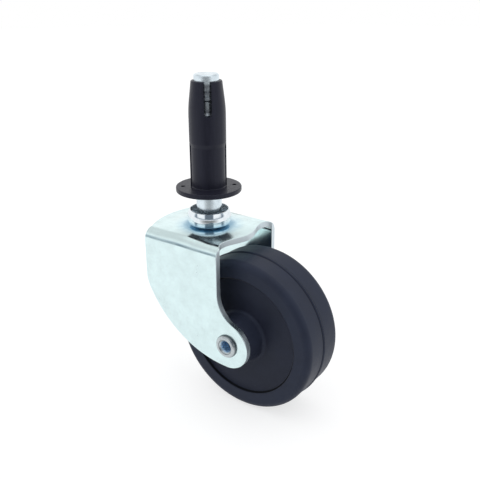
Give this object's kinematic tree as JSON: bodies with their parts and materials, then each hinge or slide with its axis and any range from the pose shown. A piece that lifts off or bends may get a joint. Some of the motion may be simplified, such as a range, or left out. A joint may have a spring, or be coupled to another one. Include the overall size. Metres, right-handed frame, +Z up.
{
  "type": "swivel stem castor",
  "caption": "Swivel castor with a curved sheet-metal fork, rubber wheel on a tubular rivet, ball-bearing swivel and a plain stem in a flanged plastic expansion sleeve.",
  "frame": {"origin": "on the stem's axis, at the upper face of the sleeve's flange, where the castor seats against the furniture leg", "axes": "+Z up along the stem; +X the way the wheel trails from the stem; +Y along the wheel's axle"},
  "size_m": [0.0605, 0.0332, 0.1033],
  "materials": {
    "black_plastic": "moulded satin",
    "plated_steel": "zinc plated",
    "bright_steel": "bright plated",
    "zinc_sheet": "clear-blue zinc plated",
    "black_rubber": "matte"
  },
  "bodies": {
    "stem_and_sleeve": {"expansion_sleeve": "black_plastic", "stem": "plated_steel", "retaining_washer": "plated_steel"},
    "fork_body": {"fork": "zinc_sheet", "bearing_cup": "bright_steel", "bearing_balls": "bright_steel", "axle_rivet": "plated_steel", "axle_bush": "plated_steel"},
    "wheel_body": {"wheel": "black_rubber"}
  },
  "joints": [
    {"name": "swivel", "type": "hinge", "parent": "stem_and_sleeve", "child": "fork_body", "pos_m": [0, 0, -0.0137], "axis": [0, 0, 1], "continuous": true},
    {"name": "wheel_spin", "type": "hinge", "parent": "fork_body", "child": "wheel_body", "pos_m": [0.0183, 0, -0.0438], "axis": [0, 1, 0], "continuous": true}
  ]
}
